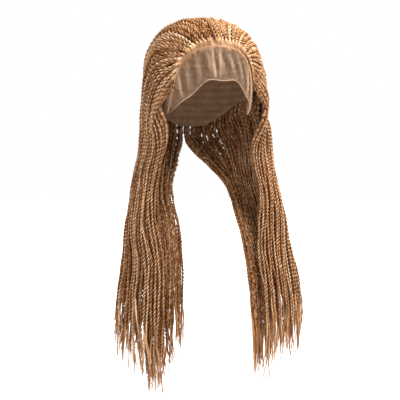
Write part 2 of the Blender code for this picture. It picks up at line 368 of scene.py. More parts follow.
# Sections of a fall: drop as a share of FALL_LENGTH, centre and radii of its oval as shares of
# HAIR_HALF_BREADTH sideways and HAIR_BACK fore and aft, tilt, first and last angle from the front
# (90 is outwards), wall as a share of FALL_THICKNESS
RIGHT_SECTIONS = (
    (0.210, 0.00, 0.03, 1.06, 0.97, 0, 80, 178, 1.00),
    (0.327, 0.57, 0.13, 0.50, 0.46, 0, 26, 213, 0.90),
    (0.395, 0.71, 0.085, 0.47, 0.36, 0, 18, 222, 0.80),
    (0.463, 0.85, -0.02, 0.43, 0.305, 3, 6, 238, 0.70),
    (0.503, 0.91, -0.12, 0.45, 0.22, 8, -4, 252, 0.60),
    (0.558, 0.96, -0.24, 0.475, 0.155, 13, -14, 264, 0.55),
    (0.626, 0.99, -0.32, 0.515, 0.13, 15, -22, 266, 0.52),
    (0.706, 1.05, -0.37, 0.56, 0.125, 17, -25, 268, 0.50),
    (1.000, 1.06, -0.42, 0.53, 0.115, 17, -25, 268, 0.48),
)
LEFT_SECTIONS = (
    (0.210, 0.00, 0.03, 1.06, 0.97, 0, 80, 178, 1.00),
    (0.327, 0.65, 0.12, 0.58, 0.39, 0, 8, 213, 0.90),
    (0.395, 0.745, 0.03, 0.51, 0.36, 0, 2, 222, 0.80),
    (0.463, 0.88, -0.05, 0.45, 0.305, 3, -10, 238, 0.70),
    (0.503, 0.92, -0.15, 0.47, 0.22, 6, -22, 252, 0.60),
    (0.558, 0.96, -0.25, 0.47, 0.155, 12, -34, 264, 0.55),
    (0.626, 1.02, -0.34, 0.49, 0.13, 14, -40, 266, 0.52),
    (0.706, 1.08, -0.39, 0.52, 0.125, 15, -40, 268, 0.50),
    (1.000, 1.07, -0.44, 0.48, 0.115, 15, -40, 268, 0.48),
)

# Share of the wall that is left along a fall, from its front edge to its rear edge
EDGE_THINNING = ((0.0, 0.45), (0.12, 0.7), (0.3, 1.0), (0.85, 1.0), (1.0, 0.6))

# Lock ends, from the front edge to the rear edge: right drop and left drop as shares of
# FALL_LENGTH, outward swing as shares of HAIR_HALF_BREADTH
LOCK_ENDS = (
    (1.000, 0.975, 0.00, -0.02),
    (0.985, 0.930, 0.02, 0.00),
    (0.925, 0.920, -0.03, 0.02),
    (0.915, 0.930, 0.03, -0.02),
    (0.870, 0.915, 0.04, 0.03),
    (0.775, 0.860, 0.09, 0.06),
    (0.848, 0.765, 0.05, 0.12),
    (0.885, 0.855, 0.00, 0.10),
    (0.897, 0.890, 0.03, 0.02),
    (0.950, 0.905, -0.04, 0.03),
    (0.990, 0.884, 0.02, -0.02),
    (0.975, 0.913, 0.00, 0.02),
    (0.927, 0.944, -0.04, 0.01),
    (0.879, 0.968, 0.03, -0.02),
    (0.900, 0.935, -0.06, 0.02),
)
GROUPS = ("temple", "side", "back")
SIDES = {"right": (-1, RIGHT_SECTIONS, 0), "left": (1, LEFT_SECTIONS, 1)}

# Outline of two strands side by side, in strand radii, anticlockwise, and how much painted shade
# each corner gets, most in the crease between them
STRAND_PAIR = (
    (1.87, 0.5, 0.0),
    (0.91, 1.0, 0.3),
    (0.0, 0.25, 1.0),
    (-0.91, 1.0, 0.3),
    (-1.87, 0.5, 0.0),
    (-1.87, -0.5, 0.0),
    (-0.91, -1.0, 0.3),
    (0.0, -0.25, 1.0),
    (0.91, -1.0, 0.3),
    (1.87, -0.5, 0.0),
)
PLAIN_STRAND_PAIR = (
    (2.0, 0.0, 0.0),
    (0.95, 0.95, 0.25),
    (-0.95, 0.95, 0.25),
    (-2.0, 0.0, 0.0),
    (-0.95, -0.95, 0.25),
    (0.95, -0.95, 0.25),
)
HAIR_SECTION = ((1.0, 0.0, 0.0), (-0.5, 0.866, 0.0), (-0.5, -0.866, 0.0))


# The flow of the hair, worked out as in the CAD but for many places at once


def smooth_rows(rows, places):
    """The columns of a table at each place, on a smooth curve through its rows."""
    table = np.array(rows, float)
    stops = table[:, 0]
    places = np.clip(np.atleast_1d(places).astype(float), stops[0], stops[-1])
    low = np.clip(np.searchsorted(stops, places, side="right") - 1, 0, len(rows) - 2)
    slopes = np.gradient(table[:, 1:], stops, axis=0)
    span = (stops[low + 1] - stops[low])[:, None]
    t = (places - stops[low])[:, None] / span
    return (
        (2 * t**3 - 3 * t**2 + 1) * table[low, 1:]
        + (t**3 - 2 * t**2 + t) * span * slopes[low]
        + (3 * t**2 - 2 * t**3) * table[low + 1, 1:]
        + (t**3 - t**2) * span * slopes[low + 1]
    )


def ease(share):
    """0 to 1 with flat ends."""
    share = np.clip(share, 0.0, 1.0)
    return share * share * (3 - 2 * share)


def unit(vectors):
    """Vectors of length 1 in the same directions."""
    return vectors / np.linalg.norm(vectors, axis=-1, keepdims=True)


def direction(azimuth, angle):
    """Unit vectors from the head's centre; azimuth 0 is the face, 90 is +X, angle is from the top."""
    azimuth, angle = np.radians(azimuth), np.radians(angle)
    flat = np.sin(angle)
    return np.stack([flat * np.sin(azimuth), -flat * np.cos(azimuth), np.cos(angle)], axis=-1)


def dome_radius(way, breadth, front, back, rise, squareness):
    """Distance from the head's centre to a rounded box of these half sizes, along unit vectors."""
    depth = np.where(way[..., 1] < 0, front, back)
    across = np.hypot(way[..., 0] / breadth, way[..., 1] / depth)
    upward = np.abs(way[..., 2] / rise)
    return (across**squareness + upward**squareness) ** (-1 / squareness)


def on_head(way, offset=0.0):
    """Points on the head along unit vectors, lifted by an offset."""
    radius = dome_radius(way, HEAD_HALF_BREADTH, HEAD_FRONT, HEAD_BACK, HEAD_RISE, HEAD_SQUARENESS)
    return way * (radius + offset)[..., None] - np.array([0, 0, HEAD_RISE])


def on_hair(way):
    """Points on the outside of the swept-back braids along unit vectors."""
    rise = np.where(way[..., 2] > 0, HAIR_RISE, HAIR_BELOW)
    radius = dome_radius(way, HAIR_HALF_BREADTH, HAIR_FRONT, HAIR_BACK, rise, HAIR_SQUARENESS)
    points = way * radius[..., None]
    flare = ease((FLARE_STARTS - points[..., 2]) / (FLARE_STARTS - FLARE_ENDS))
    points[..., 0] *= 1 + HAIR_FLARE * flare
    points[..., 1] += HAIR_LEAN * np.maximum(points[..., 2] / HAIR_RISE, 0) ** 2
    return points - np.array([0, 0, HEAD_RISE])


def cap_edge(azimuth):
    """Angle from the crown to the cap's edge at each azimuth, in degrees."""
    return smooth_rows(CAP_EDGE, np.abs(azimuth))[:, 0]


def flow_ways(share, along, drift=0.0):
    """Unit vectors along one braid's way over the cap, on the +X side: along is 0 at its root.

    drift is how far its share has changed by the time it leaves the cap.
    """
    rows = smooth_rows(CROWN_FLOW, np.array([share - drift, share - drift / 2, share]))
    root, crest_azimuth, crest_angle, leave = rows[0, 0], rows[1, 1], rows[1, 2], rows[2, 3]
    start = direction(root, cap_edge(root)[0] - ROOT_SETBACK_DEGREES)
    crest = direction(crest_azimuth, max(crest_angle, 0.0))
    end = direction(leave, cap_edge(leave)[0] + OVERHANG_DEGREES)
    t = np.linspace(0, 1, FLOW_STEPS)[:, None]
    ways = unit(start * (1 - t) ** 2 + crest * 2 * t * (1 - t) + end * t**2)
    reach = np.concatenate(([0.0], np.cumsum(np.linalg.norm(np.diff(ways, axis=0), axis=1))))
    reach /= reach[-1]
    return unit(np.stack([np.interp(along, reach, ways[:, i]) for i in range(3)], axis=-1))


def flow_points(share, along, drift=0.0):
    """Inner and outer points of the layer of braids on the cap, on the +X side."""
    ways = flow_ways(share, np.atleast_1d(along), drift)
    inner = on_head(ways, CAP_WALL + CROWN_CLEARANCE)
    thin = on_head(ways, CAP_WALL + CROWN_CLEARANCE + ROOT_THICKNESS)
    root = on_head(flow_ways(share, np.array([0.0]), drift))
    grown = ease(np.linalg.norm(inner - root, axis=1) / FULL_LAYER_AT)[:, None]
    return inner, thin + (on_hair(ways) - thin) * grown


def section_points(sections, share, drop):
    """Inner and outer points of a fall's wall at drops below the crown, measured outwards."""
    columns = smooth_rows(sections, drop / FALL_LENGTH).T
    centre_x, centre_y, radius_x, radius_y, tilt, first, last, wall = columns
    centre_x, radius_x = centre_x * HAIR_HALF_BREADTH, radius_x * HAIR_HALF_BREADTH
    centre_y, radius_y = centre_y * HAIR_BACK, radius_y * HAIR_BACK
    wall = wall * FALL_THICKNESS * smooth_rows(EDGE_THINNING, share)[:, 0]
    angle = np.radians(first + (last - first) * share)
    tilt = np.radians(tilt)
    points = []
    for taken in (wall, 0.0):
        across = np.maximum(radius_x - taken, INNER_SLIT) * np.sin(angle)
        ahead = -np.maximum(radius_y - taken, INNER_SLIT) * np.cos(angle)
        x = centre_x + across * np.cos(tilt) - ahead * np.sin(tilt)
        y = centre_y + across * np.sin(tilt) + ahead * np.cos(tilt)
        points.append(np.stack([x, y, -drop], axis=-1))
    return points


def fall_points(sections, share, drop):
    """Inner and outer points of a fall, which starts where the braids leave the cap."""
    leaving = flow_points(share[0], 1.0)
    start = max(-point[0, 2] for point in leaving)
    keep = (1 - ease((drop - start) / FADE_LENGTH))[:, None]
    found = section_points(sections, share, np.maximum(drop, start))
    at_start = section_points(sections, share[:1], np.array([start]))
    return [point + (left - before) * keep for point, left, before in zip(found, leaving, at_start)]


# One braid's middle line and the frame that turns with it


class Line:
    """A middle line from root to tip: points, the outward way and the length so far at each."""

    def __init__(self, points, outward):
        self.points = points
        steps = np.linalg.norm(np.diff(points, axis=0), axis=1)
        self.reach = np.concatenate(([0.0], np.cumsum(steps)))
        self.length = self.reach[-1]
        tangent = unit(np.gradient(points, axis=0))
        outward = outward - tangent * (outward * tangent).sum(axis=1, keepdims=True)
        self.outward = unit(outward)
        self.sideways = np.cross(tangent, self.outward)
        self.tangent = tangent

    def at(self, reach):
        """Point, outward way, sideways way and tangent at lengths from the root."""
        found = []
        for rows in (self.points, self.outward, self.sideways, self.tangent):
            columns = [np.interp(reach, self.reach, rows[:, i]) for i in range(3)]
            found.append(np.stack(columns, axis=-1))
        return found

    def moved(self, sideways, outward):
        """The line shifted by a sideways and an outward length at each point."""
        shift = self.sideways * sideways[:, None] + self.outward * outward[:, None]
        return Line(self.points + shift, self.outward)


def smoothed(rows, half_window=SHORT_WINDOW):
    """Rows averaged over a short window, so that the line has no kink where it leaves the cap."""
    padded = np.concatenate([rows[:1].repeat(half_window, 0), rows, rows[-1:].repeat(half_window, 0)])
    kernel = np.hanning(2 * half_window + 3)[1:-1]
    kernel /= kernel.sum()
    return np.stack([np.convolve(padded[:, i], kernel, "valid") for i in range(3)], axis=-1)


def wandering(rng, reach, reaches, sizes):
    """A slow wave along a line, as a sum of a few sines with random phases."""
    wave = np.zeros_like(reach)
    for wavelength, size in zip(reaches, sizes):
        stretch = wavelength * rng.uniform(*WAVE_STRETCH)
        wave += size * np.sin(2 * np.pi * (reach / stretch + rng.uniform()))
    return wave


def evened(sections, share, drop=EVENED_AT):
    """Shares that space the twists alike along the section of a fall at one drop."""
    places = np.linspace(0, 1, FINE_PLACES)
    outer = section_points(sections, places, np.full(FINE_PLACES, drop))[1]
    reach = np.concatenate(([0.0], np.cumsum(np.linalg.norm(np.diff(outer, axis=0), axis=1))))
    spaced = np.interp(share * reach[-1], reach, places)
    return EVENED_SHARE * spaced + (1 - EVENED_SHARE) * share


def braid_line(rng, side, share, root_share, depth, first_along):
    """One braid's middle line from the cap over its fall to the end of its loose hair."""
    sign, sections, column = SIDES[side]
    ends = np.array(LOCK_ENDS)
    places = (np.arange(len(ends)) + 0.5) / len(ends)
    hangs_at = float(evened(sections, share))
    end = np.interp(hangs_at, places, ends[:, column]) + rng.uniform(*END_RANGE)
    end -= SHORTER_BY * rng.uniform() * (rng.uniform() < SHORTER_SHARE)
    end *= FALL_LENGTH
    swing = np.interp(hangs_at, places, ends[:, 2 + column]) * HAIR_HALF_BREADTH
    crosses = rng.uniform() < CROSSING_SHARE
    root_share += rng.normal(0, DRIFT) * (1 - root_share) + crosses * CROSSING_DRIFT * rng.choice((-1, 1))
    drift = share - np.clip(root_share, LEAST_ROOT_SHARE, 1.0)
    inner, outer = flow_points(share, np.linspace(first_along, 1, CAP_POINTS), drift)
    start = max(-inner[-1, 2], -outer[-1, 2]) + BELOW_CAP
    drop = np.linspace(start, end, FALL_POINTS)
    below = np.clip((drop - SPLIT_DROP) / (end - SPLIT_DROP), 0, 1)
    middle = places[min(int(hangs_at * len(ends)), len(ends) - 1)]
    slide = rng.normal(0, DRIFT) * ease((drop - start) / DRIFTS_OVER)
    gather = GATHER_BELOW * ease(below) + GATHER_AT_TIPS * ease((drop - end) / TIP_LENGTH + 1)
    shares = np.clip(share + slide, 0.0, 1.0)
    settled = evened(sections, shares)
    shares += (evened(sections, shares, NAPE_AT) - shares) * ease((drop - start) / NAPE_OVER)
    shares += (settled - shares) * ease((drop - EVENED_FROM) / EVENED_OVER)
    shares = np.clip(shares + (middle - hangs_at) * gather, 0.0, 1.0)
    fall_inner, fall_outer = fall_points(sections, shares, drop)
    for points in (fall_inner, fall_outer):
        points[:, 0] += swing * below**3
    inner = np.concatenate([inner, fall_inner])
    outer = np.concatenate([outer, fall_outer])
    for points in (inner, outer):
        points[:, 0] *= sign
    wall = np.linalg.norm(outer - inner, axis=1)
    outermost = depth == LAYERS[0][1]
    taken = np.minimum(depth, (OUTER_DEEPEST if outermost else INNER_DEEPEST) * wall)
    on_cap = np.linspace(0, 1, CAP_POINTS)
    taken_on_cap = taken[:CAP_POINTS]
    if outermost and first_along > 0:
        sunk = RISES_FROM * wall[:CAP_POINTS] - taken_on_cap
        taken_on_cap += sunk * (1 - ease(on_cap / RISES_OVER))
    taken_on_cap -= crosses * CROSSING_LIFT * np.sin(np.pi * on_cap) ** 2
    outward = unit(outer - inner)
    points = outer - outward * taken[:, None]
    loosely = ease((np.arange(len(points)) - LONG_FROM) / LONG_OVER)[:, None]
    points = smoothed(points) * (1 - loosely) + smoothed(points, LONG_WINDOW) * loosely
    line = Line(points, smoothed(outward))
    loose = ease((line.reach - WAVES_FROM) / WAVES_OVER)
    loose = loose * (0.5 + 0.5 * ease(line.reach / WAVES_GROW_OVER))
    sideways = wandering(rng, line.reach, *SIDE_WAVES) * loose
    outwards = wandering(rng, line.reach, *DEPTH_WAVES) * loose
    return line.moved(sideways, outwards)


# Meshes: a closed tube made once by operators, then many copies of it joined


def tube_template(sides, rings):
    """A closed tube with pointed ends: the side and ring number of each vertex, and its triangles."""
    bm = bmesh.new()
    bmesh.ops.create_grid(bm, x_segments=sides, y_segments=rings, size=0.5)
    spot = bm.verts.layers.float_vector.new("spot")
    for vert in bm.verts:
        side = round((vert.co.x + 0.5) * sides) % sides
        ring = round((vert.co.y + 0.5) * rings)
        vert[spot] = (side, ring, 0)
        radius = 0.0 if ring in (0, rings) else 1.0
        angle = 2 * math.pi * side / sides
        vert.co = (radius * math.cos(angle), radius * math.sin(angle), ring)
    bmesh.ops.remove_doubles(bm, verts=bm.verts[:], dist=1e-4)
    bmesh.ops.recalc_face_normals(bm, faces=bm.faces[:])
    bmesh.ops.triangulate(bm, faces=bm.faces[:], quad_method="FIXED")
    bm.verts.index_update()
    spots = np.array([vert[spot][:2] for vert in bm.verts]).round().astype(int)
    faces = np.array([[vert.index for vert in face.verts] for face in bm.faces])
    bm.free()
    return spots, faces


def twist_shade(painted_shade, drop, across, beside, shade):
    """Painted shade on a twist: in its creases, and where it faces its neighbours, the cap or other layers.

    across and beside are how far outwards and sideways each point lies, in strand radii.
    """
    on_cap = 1 - ease((drop - SHADE_FADES_FROM) / SHADE_FADES_OVER)
    on_top = 1 - ease((drop - TOP_FADES_FROM) / TOP_FADES_OVER)
    flank = ease((np.abs(beside) - FLANK_FROM - FLANK_LATER_ON_TOP * on_top) / FLANK_OVER)
    underside = (UNDERSIDE_DARK - UNDERSIDE_LESS_ON_TOP * on_top) * on_cap
    underside *= ease((UNDERSIDE_FROM - across) / UNDERSIDE_OVER)
    covered = shade * on_cap * (1 - COVERED_LESS_ON_TOP * on_top)
    painted_shade = np.maximum.reduce([painted_shade, flank, underside, covered])
    if shade:
        outside = OUTSIDE_DARK * (1 - on_cap) * ease((across - OUTSIDE_FROM) / OUTSIDE_OVER)
        painted_shade = np.maximum(painted_shade, outside)
    return painted_shade


class Bundle:
    """Copies of tubes that become one mesh, with their values for the material."""

    def __init__(self):
        self.points = []
        self.faces = []
        self.lay = []
        self.painted_shade = []
        self.tone = []
        self.tip = []
        self.count = 0

    def add(self, template, section, line, reach, radius, turn, tone, tip, strand_tone=0.0, shade=0.0):
        """One tube along a line: reach, radius, turn and tip hold a value for each ring.

        shade is painted shade, for the share of its light that the hair over it takes. A tube with a
        strand_tone is a twist: its two strands differ by that tone, and its painted shade depends on
        where each side faces.
        """
        spots, faces = template
        side, ring = spots[:, 0], spots[:, 1]
        painted_shade = np.array(section)[side, 2]
        section = np.array(section)[side, :2]
        point, outward, sideways, _ = line.at(reach)
        radius = radius.copy()
        radius[[0, -1]] = 0.0
        across = np.cos(turn)[ring] * section[:, 0] - np.sin(turn)[ring] * section[:, 1]
        beside = np.sin(turn)[ring] * section[:, 0] + np.cos(turn)[ring] * section[:, 1]
        place = point[ring] + radius[ring, None] * (
            outward[ring] * across[:, None] + sideways[ring] * beside[:, None]
        )
        angle = np.arctan2(section[:, 1], section[:, 0])
        self.points.append(place)
        self.faces.append(faces + self.count)
        self.lay.append(np.stack([np.cos(angle), np.sin(angle), reach[ring] + STREAK_SHIFT * tone], axis=-1))
        self.tone.append(tone + strand_tone * np.sign(section[:, 0]))
        self.tip.append(np.asarray(tip)[ring])
        # Painted shade: darker in a twist's creases and where it faces away from the light, and on other
        # tubes by their shade
        if strand_tone:
            painted_shade = twist_shade(painted_shade, -place[:, 2], across, beside, shade)
        else:
            painted_shade = painted_shade + shade
        self.painted_shade.append(painted_shade)
        self.count += len(place)

    def mesh(self, name):
        """All its tubes as one mesh, with the values that the hair's material reads."""
        made = bpy.data.meshes.new(name)
        faces = np.concatenate(self.faces)
        made.from_pydata(np.concatenate(self.points), [], faces.tolist())
        for label, kind, key, rows in (
            ("lay", "FLOAT_VECTOR", "vector", self.lay),
            ("tone", "FLOAT", "value", self.tone),
            ("tip", "FLOAT", "value", self.tip),
            ("painted_shade", "FLOAT", "value", self.painted_shade),
        ):
            values = np.concatenate(rows).astype(np.float32).ravel()
            made.attributes.new(label, kind, "POINT").data.foreach_set(key, values)
        made.shade_smooth()
        return made


def add_twist(bundle, rng, template, section, line, tone, shade, thick):
    """One two-strand twist; gives the length from its root to where its loose hair begins."""
    twisted = line.length - LOOSE_LENGTH * rng.uniform(*TWIST_LEAVES)
    fine = np.linspace(0, twisted, FINE_STEPS)
    settles = SETTLES_OVER * (line.length / FALL_LENGTH) ** 2
    pitch = PITCH_AT_ROOT + (PITCH_BELOW * rng.uniform(*PITCH_RANGE) - PITCH_AT_ROOT) * ease(fine / settles)
    turned = np.diff(fine) * 2 * np.pi / pitch[1:] / thick**PITCH_POWER
    turn = np.concatenate(([0.0], np.cumsum(turned)))
    rings = template[0][:, 1].max()
    turns = np.linspace(0, turn[-1], rings + 1)
    reach = np.interp(turns, turn, fine)
    low = min(thick, THICK_BELOW)
    drop = -np.interp(reach, line.reach, line.points[:, 2])
    above = 1 - ease((drop - THINS_FROM) / THINS_OVER)
    radius = STRAND_AT_ROOT + (STRAND_BELOW - STRAND_AT_ROOT) * ease(reach / settles)
    radius = radius * (low + (thick - low) * above)
    radius = radius * (ROOT_HAS + (1 - ROOT_HAS) * ease(reach / ROOT_GROWS_OVER))
    radius = radius * (1 - END_LOSES * ease((reach - twisted + END_TAPERS_OVER) / END_TAPERS_OVER))
    radius = radius * (1 + UNEVEN_BY * wandering(rng, reach, *UNEVEN_WAVES))
    tip = END_COPPER * ease((reach - twisted + COPPER_OVER) / COPPER_OVER)
    turns = turns + rng.uniform(*FIRST_TURN)
    bundle.add(template, section, line, reach, radius, turns, tone, tip, STRAND_TONE, shade)
    return twisted


def add_loose_end(bundle, rng, template, line, twisted, tone, count):
    """The feathered hair past the end of a twist."""
    rings = template[0][:, 1].max()
    t = np.linspace(0, 1, rings + 1)
    opened = rng.uniform() < OPEN_SHARE
    splays = rng.normal(0, SPLAY, 2) * (1 + OPEN_SPLAYS * opened)
    aside, lifted = np.clip(splays, -MOST_SPLAY, MOST_SPLAY)
    radius = LOOSE_THICK * (1 - t) + LOOSE_POINT
    tip = LOOSE_COPPER + (1 - LOOSE_COPPER) * t
    for _ in range(count):
        first = twisted - rng.uniform(*LOOSE_STARTS)
        last = min(line.length, twisted + LOOSE_LENGTH * rng.uniform(*LOOSE_ENDS))
        reach = first + (last - first) * t
        around = rng.uniform(0, 2 * np.pi)
        spread = rng.uniform(0.0, SPREAD) + opened * rng.uniform(0.0, OPEN_SPREAD)
        away = OFF_MIDDLE * (1 - OFF_MIDDLE_LOSES * t) + spread * t**SPREAD_POWER
        away = away + HAIR_WAVE * t * np.sin(2 * np.pi * (HAIR_WAVES * t + rng.uniform()))
        point, outward, sideways, _ = line.at(reach)
        shift = outward * (away * np.cos(around) + lifted * LIFTED_SHARE * t**2)[:, None]
        shift = shift + sideways * (away * np.sin(around) + aside * t**2)[:, None]
        hair = Line(point + shift, outward)
        hair_tone = tone + rng.uniform(*LOOSE_TONES)
        shade = rng.uniform(*LOOSE_SHADES)
        bundle.add(template, HAIR_SECTION, hair, hair.reach, radius, 2 * t, hair_tone, tip, shade=shade)


def add_root_hairs(bundle, rng, template, line, tone):
    """The fan of hairs that gathers from the hairline into a twist."""
    rings = template[0][:, 1].max()
    t = np.linspace(0, 1, rings + 1)
    lift = FAN_SUNK + FAN_RISE * ease(1.5 * t) + FAN_HUMP * np.sin(np.pi * t)
    radius = FAN_THIN + FAN_THICKENS * ease(1.6 * t)
    tip = np.full(rings + 1, FAN_COPPER)
    for number in range(ROOT_HAIRS):
        offset = (number / (ROOT_HAIRS - 1) - 0.5) * FAN_WIDTH + rng.uniform(-FAN_UNEVEN, FAN_UNEVEN)
        ahead = rng.uniform(*FAN_AHEAD)
        joins = rng.uniform(*FAN_JOINS)
        point, outward, sideways, tangent = line.at(joins * t)
        gather = offset * ((1 - t) ** FAN_POWER + FAN_STAYS * t)
        points = (
            point
            + sideways * gather[:, None]
            + outward * lift[:, None]
            - tangent * (ahead * (1 - t) ** FAN_AHEAD_POWER)[:, None]
        )
        hair = Line(points, outward)
        reach = np.linspace(0, hair.length, rings + 1)
        bundle.add(template, HAIR_SECTION, hair, reach, radius, t, tone + rng.uniform(*FAN_TONES), tip)


def spread_shares(places):
    """Shares for the roots of one side's twists, closer where the hairline is longer."""
    share = np.linspace(0, 1, FINE_PLACES)
    root = smooth_rows(CROWN_FLOW, share)[:, 0]
    points = on_head(direction(root, cap_edge(root)))
    step = np.linalg.norm(np.diff(points, axis=0), axis=1) ** SPREAD_BY_LENGTH
    reach = np.concatenate(([0.0], np.cumsum(step)))
    return np.interp(places, reach / reach[-1], share)


def build_twists():
    """All twists with their roots and ends, joined into one piece for each fall."""
    rng = np.random.default_rng(TWIST_SEED)
    end_hair = tube_template(len(HAIR_SECTION), LOOSE_RINGS)
    short_hair = tube_template(len(HAIR_SECTION), FAN_RINGS)
    bundles = {(side, group): Bundle() for side in SIDES for group in GROUPS}
    for layer, (count, depth, first, last, rings, shade, thick, covers) in enumerate(LAYERS):
        section = STRAND_PAIR if layer < OUTER_LAYERS else PLAIN_STRAND_PAIR
        twist = tube_template(len(section), rings)
        shares = np.linspace(covers, 1, count, endpoint=False)
        if layer < OUTER_LAYERS:
            every = OUTER_LAYERS * count
            shares = ((np.arange(every) + 0.5) / every)[layer::OUTER_LAYERS]
        for side in SIDES:
            if layer != 1 and side == "left":
                # One more on the line between the sides, which closes the parting
                shares = np.append(shares, 1.0)
            for share, root_share in zip(shares, spread_shares(shares)):
                hangs_at = evened(SIDES[side][1], share)
                group = GROUPS[min(int(hangs_at * len(GROUPS)), len(GROUPS) - 1)]
                bundle = bundles[side, group]
                line = braid_line(rng, side, share, root_share, depth, rng.uniform(first, last))
                tone = rng.normal(*TWIST_TONES)
                twisted = add_twist(bundle, rng, twist, section, line, tone, shade, thick)
                hairs = LOOSE_STRANDS - FEWER_BELOW * layer
                add_loose_end(bundle, rng, end_hair, line, twisted, tone, hairs)
                if layer == 0:
                    add_root_hairs(bundle, rng, short_hair, line, tone)
    return {key: bundle.mesh(f"{key[0]}_{key[1]}_twists") for key, bundle in bundles.items()}


def build_temple_hairs():
    """Short soft hairs that lie on the lace along the hairline, longer in front of the temples."""
    rng = np.random.default_rng(SHORT_SEED)
    template = tube_template(len(HAIR_SECTION), SHORT_RINGS)
    bundle = Bundle()
    t = np.linspace(0, 1, SHORT_RINGS + 1)
    radius = SHORT_THICK * (1 - t) ** 0.6 + SHORT_POINT
    tip = np.full(SHORT_RINGS + 1, SHORT_COPPER)
    for sign in (-1, 1):
        for count, roots, reaches, tones in SHORT_HAIRS:
            for _ in range(count):
                azimuth = rng.uniform(*roots)
                reach = rng.uniform(*reaches)
                curl = rng.uniform(*SHORT_CURL)
                azimuths = azimuth - reach * t * SHORT_FORWARD + curl * t**2
                first = cap_edge(azimuth)[0] - SHORT_SETBACK
                angles = first + reach * SHORT_DOWN * t + rng.uniform(*SHORT_DROOP) * t**2
                ways = direction(azimuths, angles)
                points = on_head(ways, SHORT_LIFT)
                points[:, 0] *= sign
                ways[:, 0] *= sign
                line = Line(points, ways)
                tone = rng.uniform(*tones)
                bundle.add(template, HAIR_SECTION, line, line.reach, radius, t, tone, tip)
    return bundle.mesh("temple_hairs")


def lace_fold(azimuth, v):
    """Height of the lace's folds and ripples; v is 0 at its cut edge and 1 at the cap."""
    fold = LACE_RIPPLE * math.sin(azimuth * 0.55 + 4 * v) * math.sin(math.pi * v) ** 2
    for place, lean, width, height in LACE_FOLDS:
        fold += height * math.exp(-(((azimuth - place - lean * v) / width) ** 2))
    return float(fold * ease(6 * v) * ease(6 * (1 - v)))


def build_lace():
    """The sheer lace, stretched over the forehead from the cap's edge to its own cut edge."""
    bm = bmesh.new()
    bmesh.ops.create_grid(bm, x_segments=LACE_CELLS[0], y_segments=LACE_CELLS[1], size=0.5, calc_uvs=True)
    cloth = bm.loops.layers.uv.verify()
    folded = bm.verts.layers.float.new("fold")
    place = {vert: (vert.co.x + 0.5, vert.co.y + 0.5) for vert in bm.verts}
    for face in bm.faces:
        for loop in face.loops:
            u, v = place[loop.vert]
            loop[cloth].uv = (u * LACE_FLAT[0], v * LACE_FLAT[1])
    for vert, (u, v) in place.items():
        azimuth = LACE_HALF_SPAN * (2 * u - 1)
        top = cap_edge(azimuth)[0] + LACE_GAP
        snips = 0.35 * math.sin(azimuth * 2.3) + 0.25 * math.sin(azimuth * 5.1 + 1)
        low = smooth_rows(LACE_EDGE, abs(azimuth))[0, 0] + snips * (1 - v) ** 4
        angle = low + (top - low) * v
        fold = lace_fold(azimuth, v)
        vert[folded] = 1000 * fold
        vert.co = Vector(on_head(direction(azimuth, angle), np.array(LACE_LIFT + fold)))
    bmesh.ops.recalc_face_normals(bm, faces=bm.faces[:])
    mesh = bpy.data.meshes.new("sheer_lace")
    bm.to_mesh(mesh)
    bm.free()
    mesh.shade_smooth()
    return mesh


# Materials


class Nodes:
    """Adds and links shader nodes of one material."""

    def __init__(self, name):
        self.material = bpy.data.materials.new(name)
        self.material.use_nodes = True
        self.tree = self.material.node_tree
        self.shader = self.tree.nodes["Principled BSDF"]

    def add(self, kind, values=None, **settings):
        """A new node; values are links or constants for its inputs."""
        node = self.tree.nodes.new(kind)
        for key, value in settings.items():
            setattr(node, key, value)
        for socket, value in (values or {}).items():
            if isinstance(value, bpy.types.NodeSocket):
                self.tree.links.new(value, node.inputs[socket])
            else:
                node.inputs[socket].default_value = value
        return node

    def attribute(self, name, output="Fac"):
        """A value that the mesh holds at each point."""
        return self.add("ShaderNodeAttribute", attribute_name=name).outputs[output]

    def noise(self, place, scale, detail):
        """Soft noise at a scale."""
        values = {"Vector": place, "Scale": scale, "Detail": detail}
        return self.add("ShaderNodeTexNoise", values).outputs["Fac"]

    def fitted(self, value, given, wanted):
        """A value fitted from one range to another, held at the ends."""
        values = {"Value": value, "From Min": given[0], "From Max": given[1]}
        values.update({"To Min": wanted[0], "To Max": wanted[1]})
        return self.add("ShaderNodeMapRange", values).outputs["Result"]

    def sum(self, value, factor, added):
        """A value times a factor, and another one added."""
        values = {0: value, 1: factor, 2: added}
        return self.add("ShaderNodeMath", values, operation="MULTIPLY_ADD").outputs[0]

    def mix(self, share, under, over, blend_type="MIX"):
        """One colour laid over another."""
        values = {0: share, 6: under, 7: over}
        node = self.add("ShaderNodeMix", values, data_type="RGBA", blend_type=blend_type)
        return node.outputs[2]

    def finish(self, output, socket):
        """Gives an output to the material's shader."""
        self.tree.links.new(output, self.shader.inputs[socket])

    def bump(self, height, distance):
        """A relief on the material's shader."""
        values = {"Height": height, "Strength": 0.5, "Distance": distance}
        self.finish(self.add("ShaderNodeBump", values).outputs["Normal"], "Normal")

    def ramp(self, factor, stops):
        """Colours along a value from 0 to 1."""
        node = self.add("ShaderNodeValToRGB", {"Fac": factor})
        ramp = node.color_ramp
        while len(ramp.elements) < len(stops):
            ramp.elements.new(0.5)
        for element, (place, colour) in zip(ramp.elements, stops):
            element.position = place
            element.color = (*colour, 1)
        return node.outputs["Color"]


